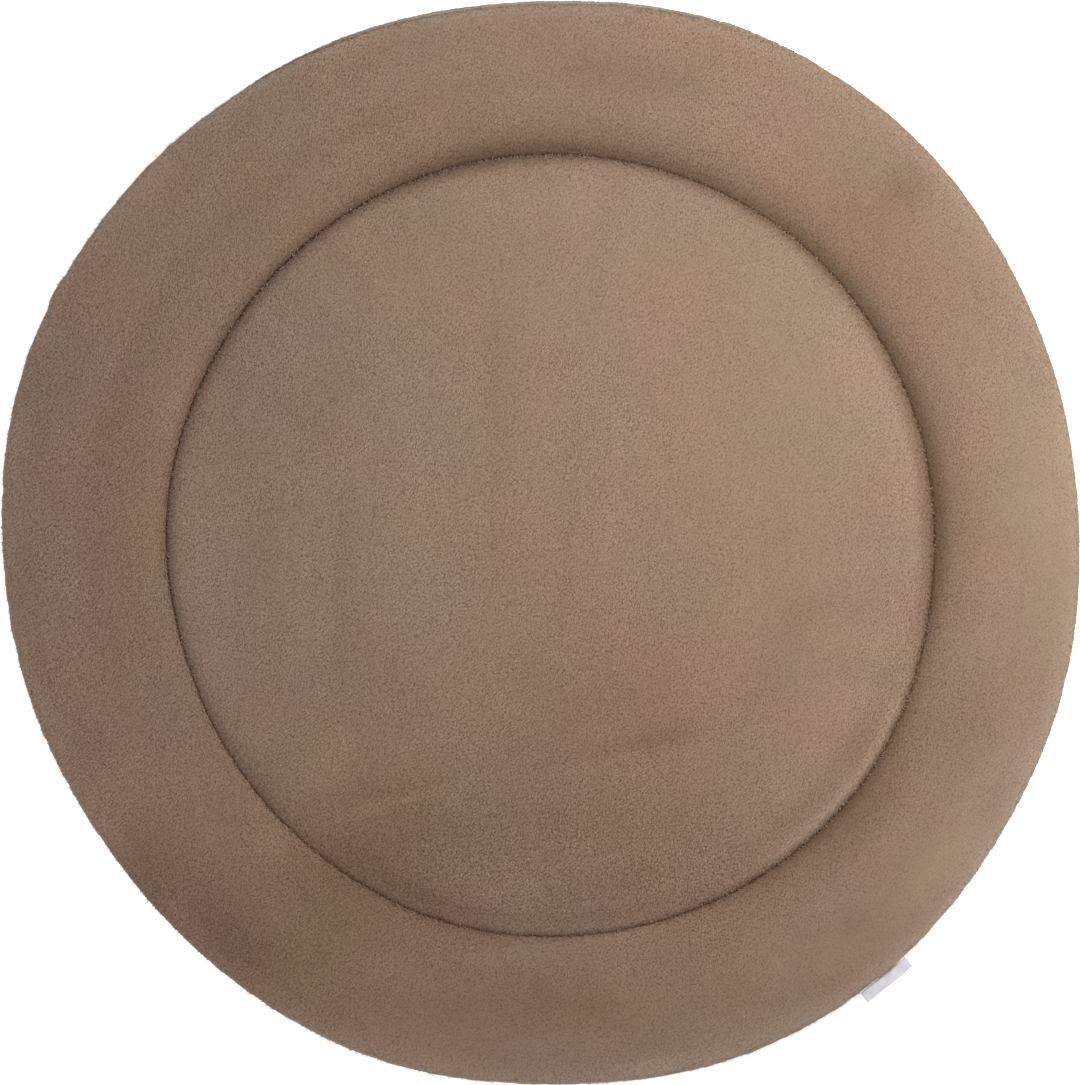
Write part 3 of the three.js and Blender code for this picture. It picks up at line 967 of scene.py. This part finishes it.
# the last hue is the warm brown painted into the crease as shade
HUES = ("pink", "mid", "grey", "gold", "deep")


def tone_slot(tone, tint, gold, deep, r):
    """The material slot of each tuft, from how light it is and its hue."""
    step = np.interp(tone, TONES, np.arange(len(TONES)))
    step = np.clip(np.floor(step + r.uniform(0, 1, len(tone))), 0, len(TONES) - 1)
    hue = np.clip(np.floor(3 * (tint - 0.5) + 1.5 + r.uniform(-0.7, 0.7, len(tone))), 0, 2)
    hue = np.where(r.uniform(0, 1, len(tone)) < gold, 3, hue)
    # tufts in the crease take the brown painted there as shade
    hue = np.where(r.uniform(0, 1, len(tone)) < deep, 4, hue)
    return (step * len(HUES) + hue).astype(int)


def lay_of(p, r):
    """The bearing that the tufts lie to."""
    deg = np.degrees(np.arctan2(p[:, 1], p[:, 0])) % 360
    turn = np.zeros(len(p))
    for bearing, spread, more in LAY_PATCHES:
        turn += more * fade(apart(deg, bearing) / spread) * np.clip(np.hypot(p[:, 0], p[:, 1]) / 300 - 0.3, 0, 1)
    turn += 7 * lumps(DRIFT, p[:, 1] * 0.7, p[:, 0] * 0.7)
    return np.radians(LAY + turn + PILE["scatter"] * r.normal(size=len(p)))


def between(r, pair, n):
    return r.uniform(pair[0], pair[1], n)


def pile_points(r):
    """A loosened triangular grid over the face, seen from above."""
    s = PILE["spacing"]
    i, j = np.meshgrid(np.arange(-470, 471, s), np.arange(-470, 471, s * math.sqrt(3) / 2))
    i = i + (np.arange(i.shape[0]) % 2)[:, None] * s / 2
    p = np.stack([i.ravel(), j.ravel()], -1)
    p += r.uniform(-0.36, 0.36, p.shape) * s
    return p[np.hypot(*p.T) < 462]


def grow_pile():
    r = np.random.default_rng(5)
    p = pile_points(r)
    a, ring, from_circle, from_edge, on_disc = locate(p)
    keep = (from_edge > 0.5) & (from_circle > 0.5)
    p, a, ring, from_circle, from_edge, on_disc = (v[keep] for v in (p, a, ring, from_circle, from_edge, on_disc))
    # extra tufts on the steep walls beside the circle and round the edge, which the grid seen from above misses
    extra_a = r.uniform(0, TAU, 15000)
    wall = r.choice(3, len(extra_a), p=[0.3, 0.2, 0.5])
    # and the fringe beside the circle
    fringe_a = r.uniform(0, TAU, 2 * round(TAU * CIRCLE_RADIUS))
    rows = np.array(FRINGE, float)
    from_in = np.arange(len(fringe_a)) % 2 == 0
    many = np.interp(np.degrees(fringe_a), rows[:, 0], rows[:, 1], period=360)
    fewer = np.interp(np.degrees(fringe_a), rows[:, 0], rows[:, 2], period=360)
    stays = r.uniform(0, 1, len(fringe_a)) < np.where(from_in, many, fewer)
    fringe_a, from_in = fringe_a[stays], from_in[stays]
    fringe = np.arange(len(p) + len(extra_a) + len(fringe_a)) >= len(p) + len(extra_a)
    extra_a = np.concatenate([extra_a, fringe_a])
    wall = np.concatenate([wall, np.where(from_in, 0, 1)])
    depth = r.uniform(0, 1, len(extra_a)) ** 1.3 * np.array([4.0, 4.0, 6.5])[wall]
    depth = np.where(fringe[len(p) :], r.uniform(0.8, 2.2, len(extra_a)), depth)
    rc, re = circle_radius(extra_a), edge_radius(extra_a) - shown(extra_a)
    width = re - rc
    disc_ring = np.interp(depth / rc, DISC_SHARES[::-1], np.arange(len(DISC_SHARES))[::-1])
    ring_no = len(DISC_SHARES) - 1
    shares = np.where(wall == 1, depth / width, 1 - depth / width)
    other = ring_no + np.interp(shares, RING_SHARES, np.arange(len(RING_SHARES)))
    extra_ring = np.where(wall == 0, disc_ring, other)
    a = np.concatenate([a, extra_a])
    ring = np.concatenate([ring, extra_ring])
    from_circle = np.concatenate([from_circle, np.where(wall == 2, width - depth, depth)])
    from_edge = np.concatenate([from_edge, np.where(wall == 2, depth, np.where(wall == 0, 1e3, width - depth))])
    on_disc = np.concatenate([on_disc, wall == 0])
    roots, normals = on_grid(GRID, a, ring), on_grid(NORMALS, a, ring)
    normals /= np.linalg.norm(normals, axis=1, keepdims=True)
    p = roots[:, :2]
    n = len(p)
    bearing = lay_of(p, r)
    # near a seam the tufts splay across it, and at the edge they follow the cloth outwards
    seam = fade((from_circle - 1) / 5)
    inward = np.where(on_disc, a, a + math.pi)
    rim = fade((from_edge - 2) / 9)
    outward = a + np.radians(28) * r.normal(size=n)

    def turned(b, goal, share):
        return b + share * ((goal - b + math.pi) % TAU - math.pi)

    bearing = turned(bearing, inward + 0.5 * r.normal(size=n), np.where(on_disc, 0.75, 0.5) * seam)
    bearing = turned(bearing, outward, 0.6 * rim)
    length = between(r, PILE["length"], n) * (1 - np.where(on_disc, 0.05, 0.30) * seam)
    length *= (1 - 0.36 * rim) * (1 + rim * r.uniform(-0.5, 0.7, n))
    calm = calm_at(p)
    lean = np.radians(between(r, PILE["lean"], n)) * (1 - 0.3 * rim) * (1 - 0.65 * calm)
    lean += np.radians(44) * np.where(on_disc, 1, 0.6) * seam * r.uniform(0, 1, n) ** 1.5
    lean += np.radians(50) * fade((from_edge - 1) / 6) * r.uniform(0, 1, n) ** 1.5
    lean = np.where(fringe, np.radians(between(r, (24, 50), n)), lean)
    length = np.where(fringe, between(r, (2.8, 4.8), n), length)
    width = np.where(fringe, between(r, (0.85, 1.5), n), between(r, PILE["width"], n))
    # the tufts take the face's tone, painted shade and painted light included
    tone = tone_at(a, p, on_disc, from_circle, from_edge)
    tone = tone * (1 + MIXED * r.normal(size=n) * (1 - 0.35 * rim) * (1 - 0.6 * calm))
    # tufts of the fringe are kept lighter, a painted highlight that lifts them out of the crease's shade
    tone = np.where(fringe, np.maximum(tone, between(r, (0.75, 1.45), n)), tone)
    slot = tone_slot(tone, tint_at(p, from_edge), gold_at(p, from_edge), np.where(fringe, 0.5, 1) * crease_shade_at(from_circle), r)
    ridge = PILE["ridge"] * between(r, (0.75, 1.25), n)
    verts = tufts(roots - normals * PILE["root"], normals, bearing, length, width, lean, ridge)
    quarter = (np.floor(((np.degrees(np.arctan2(p[:, 1], p[:, 0])) + 360) % 360) / 90)).astype(int) % 4
    return [
        tuft_mesh(name, verts[quarter == i], slot[quarter == i])
        for i, name in enumerate(("pile_upper_right", "pile_upper_left", "pile_lower_left", "pile_lower_right"))
    ]


pile_obs = grow_pile()


def grow_backing_fuzz():
    """Short fuzz on the back panel's edge, longest where the panel shows past the face, and there of lighter yarn as
    painted light.
    """
    r = np.random.default_rng(9)
    n = 26000
    a = r.uniform(0, TAU, n)
    here = shown(a)
    a = a[r.uniform(0, 1, n) < 0.10 + 0.90 * np.clip(here / 1.5, 0, 1)]
    n, here = len(a), shown(a)
    back_ = np.maximum(TUCK - here, 0)
    round_ = r.uniform(-0.35 * math.pi, 0.5 * math.pi, n)  # from under the edge to on top of it
    inset = back_ + 0.15 + (1 - np.cos(round_)) * 0.7 + np.where(round_ > 1.2, r.uniform(0, 1, n) * here, 0)
    top = panel_top(1e3 + 0 * a, inset, here) - strip_drop(inset, here)
    z = top - PANEL / 2 + np.sin(round_) * PANEL / 2 - 0.2
    roots = with_z(edge_xy(a, inset), z)
    normals = np.concatenate([polar(np.cos(round_), a), np.sin(round_)[:, None]], 1)
    bearing = a + np.radians(50) * r.normal(size=n)
    verts = tufts(
        roots, normals, bearing, between(r, (0.9, 2.0), n) * (0.7 + 0.3 * np.clip(here, 0, 1)),
        between(r, (0.55, 0.95), n), np.radians(between(r, (25, 60), n)), np.full(n, 0.3),
    )
    # lighter yarn where the panel shows past the face, as painted light
    return tuft_mesh("backing_fuzz", verts, r.integers(0, 4, n) + np.round(2 * np.clip(here / 1.5, 0, 1)).astype(int))


fuzz_ob = grow_backing_fuzz()


# ================================================================ materials
def node(tree, kind, x=0, y=0, **settings):
    n = tree.nodes.new(kind)
    n.location = (x, y)
    for key, value in settings.items():
        setattr(n, key, value)
    return n


def new_material(name):
    mat = bpy.data.materials.new(name)
    mat.use_nodes = True
    tree = mat.node_tree
    tree.nodes.clear()
    out = node(tree, "ShaderNodeOutputMaterial", 900, 0)
    bsdf = node(tree, "ShaderNodeBsdfPrincipled", 600, 0)
    tree.links.new(bsdf.outputs[0], out.inputs[0])
    return mat, tree, bsdf


def math_node(tree, op, a, b=None, c=None, clamp=False):
    n = node(tree, "ShaderNodeMath", operation=op, use_clamp=clamp)
    for i, v in enumerate((a, b, c)):
        if v is None:
            continue
        if hasattr(v, "is_output"):
            tree.links.new(v, n.inputs[i])
        else:
            n.inputs[i].default_value = v
    return n.outputs[0]


def mix_colour(tree, kind, factor, a, b):
    n = node(tree, "ShaderNodeMix", data_type="RGBA", blend_type=kind)
    for socket, v in ((n.inputs[0], factor), (n.inputs[6], a), (n.inputs[7], b)):
        if hasattr(v, "is_output"):
            tree.links.new(v, socket)
        elif isinstance(v, (tuple, list)):
            socket.default_value = (*v, 1.0)
        else:
            socket.default_value = v
    return n.outputs[2]


def noise(tree, vector, scale, detail=2.0, rough=0.5, distortion=0.0, lacunarity=2.0):
    n = node(tree, "ShaderNodeTexNoise")
    n.inputs["Scale"].default_value = scale
    n.inputs["Detail"].default_value = detail
    n.inputs["Roughness"].default_value = rough
    n.inputs["Lacunarity"].default_value = lacunarity
    n.inputs["Distortion"].default_value = distortion
    tree.links.new(vector, n.inputs["Vector"])
    return n.outputs[0]


def mapped(tree, vector, turn=0.0, scale=(1, 1, 1), shift=(0, 0, 0)):
    n = node(tree, "ShaderNodeMapping", vector_type="TEXTURE")
    n.inputs["Location"].default_value = shift
    n.inputs["Rotation"].default_value = (0, 0, math.radians(turn))
    n.inputs["Scale"].default_value = scale
    tree.links.new(vector, n.inputs["Vector"])
    return n.outputs[0]


def remap(tree, value, lo, hi, to_lo=0.0, to_hi=1.0, smooth=False):
    n = node(tree, "ShaderNodeMapRange", interpolation_type="SMOOTHSTEP" if smooth else "LINEAR")
    tree.links.new(value, n.inputs[0])
    for i, v in enumerate((lo, hi, to_lo, to_hi)):
        n.inputs[1 + i].default_value = v
    return n.outputs[0]


def attribute(tree, name):
    return node(tree, "ShaderNodeAttribute", attribute_name=name).outputs["Fac"]


def deepened(tree, colour, value):
    """The colour made lighter or darker: red changes least and blue most, so that the darks are richer."""
    n = node(tree, "ShaderNodeCombineColor")
    for i, power in enumerate(RICHER):
        tree.links.new(math_node(tree, "POWER", value, power), n.inputs[i])
    return mix_colour(tree, "MULTIPLY", 1.0, colour, n.outputs[0])


def plush_finish(bsdf, sheen):
    bsdf.inputs["Roughness"].default_value = 0.95
    bsdf.inputs["Specular IOR Level"].default_value = 0.12
    bsdf.inputs["Sheen Weight"].default_value = sheen
    bsdf.inputs["Sheen Roughness"].default_value = 0.5
    bsdf.inputs["Sheen Tint"].default_value = (0.95, 0.80, 0.68, 1)


def strokes(tree, coord, turn, fine, lens, stretch=2.2):
    """Short strokes of pile: fine noise, and evenly spread lenses that are light in the middle."""
    grain = noise(tree, mapped(tree, coord, turn, (stretch, 1, 1)), fine, 2.0, 0.6, 0.25)
    cells = node(tree, "ShaderNodeTexVoronoi", voronoi_dimensions="2D", feature="F1")
    cells.inputs["Scale"].default_value = lens
    cells.inputs["Randomness"].default_value = 0.75
    tree.links.new(mapped(tree, coord, turn + 4, (1.75, 1, 1)), cells.inputs["Vector"])
    light = math_node(tree, "MULTIPLY_ADD", cells.outputs["Distance"], -0.275, 0.36)
    return math_node(tree, "MULTIPLY_ADD", grain, 0.5, light)


def plush_material(name, warm, cool, dark, sheen, bump, level, tone=None, hues=None):
    """The cloth between the tufts: strokes of pile along the way it lies, with painted shade in the gaps between them.
    hues names the attributes for greyer, yellower and deeper brown, and the last two colours; the deeper brown is
    painted shade in the crease."""
    mat, tree, bsdf = new_material(name)
    coord = node(tree, "ShaderNodeTexCoord", -1600, 0).outputs["Object"]
    drift = noise(tree, mapped(tree, coord, 40, (1.5, 0.8, 1)), 30.0, 2.0, 0.5)
    grey = attribute(tree, "tint") if hues else remap(tree, noise(tree, coord, 12.0, 2.0), 0.4, 0.6, smooth=True)
    colour = mix_colour(tree, "MIX", grey, warm, cool)
    for other, share in hues or ():
        colour = mix_colour(tree, "MIX", attribute(tree, share), colour, other)
    first, second = strokes(tree, coord, 50, 1250.0, 700.0), strokes(tree, coord, 78, 1200.0, 670.0)
    where = noise(tree, coord, 9.0, 1.5, 0.5)
    both = node(tree, "ShaderNodeMix", data_type="FLOAT")
    tree.links.new(remap(tree, where, 0.44, 0.60, smooth=True), both.inputs[0])
    tree.links.new(first, both.inputs[2])
    tree.links.new(second, both.inputs[3])
    stroke = both.outputs[0]
    clump = noise(tree, mapped(tree, coord, 50, (1.5, 1, 1)), 300.0, 2.0, 0.5)
    swing = remap(tree, stroke, 0.36, 0.64, -0.43, 0.43)
    if hues:
        swing = math_node(tree, "MULTIPLY", swing, attribute(tree, "grain"))
    value = math_node(tree, "ADD", math_node(tree, "ADD", swing, 1.0), remap(tree, clump, 0.3, 0.7, -0.015, 0.015))
    value = math_node(tree, "ADD", value, remap(tree, drift, 0.3, 0.7, -0.02, 0.02))
    value = math_node(tree, "MULTIPLY", value, level)
    if tone:
        value = math_node(tree, "MULTIPLY", value, attribute(tree, tone))
    # painted shade in the gaps between the strokes
    gap_shade = remap(tree, stroke, 0.33, 0.44, 0.20, 0.0, smooth=True)
    tree.links.new(mix_colour(tree, "MIX", gap_shade, deepened(tree, colour, value), dark), bsdf.inputs["Base Color"])
    b = node(tree, "ShaderNodeBump", 350, -300)
    b.inputs["Strength"].default_value = 1.0
    b.inputs["Distance"].default_value = bump * MM
    tree.links.new(math_node(tree, "ADD", stroke, math_node(tree, "MULTIPLY", clump, 0.6)), b.inputs["Height"])
    tree.links.new(b.outputs[0], bsdf.inputs["Normal"])
    plush_finish(bsdf, sheen)
    return mat


def yarn_material(name, colour, tone, sheen=0.22):
    """One tone of the pile's yarn."""
    mat, tree, bsdf = new_material(name)
    bsdf.inputs["Base Color"].default_value = (*(c * tone**power for c, power in zip(colour, RICHER)), 1.0)
    plush_finish(bsdf, sheen)
    return mat


RICHER = (0.84, 1.0, 1.15)  # how fast red, green and blue change with the tone
WARM = (0.2411, 0.1482, 0.1091)
COOL = (0.2142, 0.1547, 0.1140)
GOLD = (0.2219, 0.1541, 0.1005)
# the warm brown painted into the crease as its shade
CREASE_SHADE_BROWN = (0.2480, 0.1420, 0.0825)
# the painted shade in the gaps between strokes of pile
GAP_SHADE = (0.102, 0.050, 0.028)
BACK_WARM = (0.200, 0.145, 0.108)
BACK_COOL = (0.190, 0.146, 0.108)

face_ob.data.materials.append(
    plush_material("plush_taupe", WARM, COOL, GAP_SHADE, 0.14, 0.14, 0.985, "tone", [(GOLD, "gold"), (CREASE_SHADE_BROWN, "deep")])
)
panel_ob.data.materials.append(
    # the backing's gaps get a painted shade too
    plush_material("backing_grey_brown", BACK_WARM, BACK_COOL, (0.07, 0.05, 0.038), 0.25, 0.7, 1.0, "tone")
)
MIDWAY = tuple((u + v) / 2 for u, v in zip(WARM, COOL))
YARNS = []
for t in TONES:
    for label, colour in zip(HUES, (WARM, MIDWAY, COOL, GOLD, CREASE_SHADE_BROWN)):
        YARNS.append(yarn_material(f"yarn_{label}_{round(100 * t)}", colour, t, 0.05 if label == "deep" else 0.22))
for ob in pile_obs:
    for mat in YARNS:
        ob.data.materials.append(mat)
# the lightest backing yarns carry the painted light where the panel shows past the face
for t in (0.8, 0.95, 1.1, 1.4, 1.65, 1.9):
    fuzz_ob.data.materials.append(yarn_material(f"backing_yarn_{round(100 * t)}", BACK_COOL, t))


def tape_material():
    mat, tree, bsdf = new_material("pale_tape")
    coord = mapped(tree, node(tree, "ShaderNodeTexCoord").outputs["Object"], TAB["bearing"] + TAB["turn"])
    waves = []
    for way, scale, bend in (("X", 330.0, 0.4), ("Y", 420.0, 0.0)):
        wave = node(tree, "ShaderNodeTexWave", wave_type="BANDS", bands_direction=way, wave_profile="SIN")
        wave.inputs["Scale"].default_value = scale
        wave.inputs["Distortion"].default_value = bend
        tree.links.new(coord, wave.inputs["Vector"])
        waves.append(wave.outputs[1])
    weave = math_node(tree, "MULTIPLY", *waves)
    soft = noise(tree, coord, 120.0, 2.0)
    colour = mix_colour(tree, "MIX", remap(tree, soft, 0.35, 0.65), (0.62, 0.61, 0.66), (0.72, 0.71, 0.74))
    colour = mix_colour(tree, "MULTIPLY", remap(tree, weave, 0, 1, 0.25, 0.0), colour, (0.7, 0.7, 0.74))
    tree.links.new(colour, bsdf.inputs["Base Color"])
    b = node(tree, "ShaderNodeBump")
    b.inputs["Distance"].default_value = 0.12 * MM
    tree.links.new(weave, b.inputs["Height"])
    tree.links.new(b.outputs[0], bsdf.inputs["Normal"])
    bsdf.inputs["Roughness"].default_value = 0.5
    bsdf.inputs["Sheen Weight"].default_value = 0.15
    return mat


def thread_material():
    mat, tree, bsdf = new_material("brown_thread")
    coord = node(tree, "ShaderNodeTexCoord").outputs["Object"]
    twist = noise(tree, coord, 1500.0, 1.0)
    colour = mix_colour(tree, "MIX", remap(tree, twist, 0.35, 0.65), (0.150, 0.104, 0.076), (0.235, 0.168, 0.126))
    tree.links.new(colour, bsdf.inputs["Base Color"])
    bsdf.inputs["Roughness"].default_value = 0.6
    return mat


tab_ob.data.materials.append(tape_material())
stitch_ob.data.materials.append(thread_material())

for ob, nodes_, slot in (
    (face_ob, ["filled_pad"], "plush_face"),
    *((ob, [], "plush_face") for ob in pile_obs),
    (panel_ob, ["back_panel"], "backing_cloth"),
    (fuzz_ob, [], "backing_cloth"),
    (stitch_ob, [], "backing_cloth"),
    (tab_ob, ["side_tab"], "woven_tape"),
):
    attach(ob, "root")
    if nodes_:
        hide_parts(*nodes_)

# ================================================================ floor, light and camera
floor_mesh = bpy.data.meshes.new("floor")
F = 30.0
floor_mesh.from_pydata([(-F, -F, -0.0005), (F, -F, -0.0005), (F, F, -0.0005), (-F, F, -0.0005)], [], [(0, 1, 2, 3)])
floor = bpy.data.objects.new("floor", floor_mesh)
bpy.context.scene.collection.objects.link(floor)
fmat, ftree, fbsdf = new_material("pale_floor")
fbsdf.inputs["Base Color"].default_value = (0.86, 0.86, 0.86, 1)
fbsdf.inputs["Roughness"].default_value = 0.9
fbsdf.inputs["Specular IOR Level"].default_value = 0.1
fbsdf.inputs["Emission Color"].default_value = (1, 1, 1, 1)
fbsdf.inputs["Emission Strength"].default_value = 0.70
floor.data.materials.append(fmat)

world = bpy.data.worlds.new("studio")
world.use_nodes = True
world.node_tree.nodes["Background"].inputs[0].default_value = (0.98, 0.99, 1.0, 1)
world.node_tree.nodes["Background"].inputs[1].default_value = 0.33
bpy.context.scene.world = world

# The key is a small soft box close by, out beyond the upper right of the mat, so its light falls off across it.
# The fill is a low one from the lower left, which lights the slopes that face away from the key.
LIGHTS = [  # name, bearing, metres out, metres up, metres across, watts, colour
    ("key", 34, 0.69, 0.93, 0.5, 17.0, (1.0, 0.99, 0.97)),
    ("fill", 218, 1.32, 0.70, 0.9, 5.0, (1.0, 0.995, 0.985)),
]
for name, bearing, out, up, across, watts, colour in LIGHTS:
    light = bpy.data.lights.new(name, "AREA")
    light.shape = "SQUARE"
    light.size = across
    light.energy = watts
    light.color = colour
    ob = bpy.data.objects.new(name, light)
    ob.location = (*polar(out, math.radians(bearing)), up)
    ob.rotation_euler = (-ob.location).to_track_quat("-Z", "Y").to_euler()
    ob.visible_camera = False
    bpy.context.scene.collection.objects.link(ob)

cam_data = bpy.data.cameras.new("camera")
cam = bpy.data.objects.new("camera", cam_data)
bpy.context.scene.collection.objects.link(cam)
HEIGHT = 3.2
VIEW_H = 1085 * 0.8291 * MM
cam_data.sensor_fit = "AUTO"
cam_data.sensor_width = 36.0
cam_data.lens = 36.0 * (HEIGHT - 0.0085) / VIEW_H
cam.location = (-0.0006, 0.0002, HEIGHT)
cam.rotation_euler = (0, 0, 0)
bpy.context.scene.camera = cam
bpy.context.scene.view_settings.view_transform = "Standard"

bpy.context.view_layer.update()
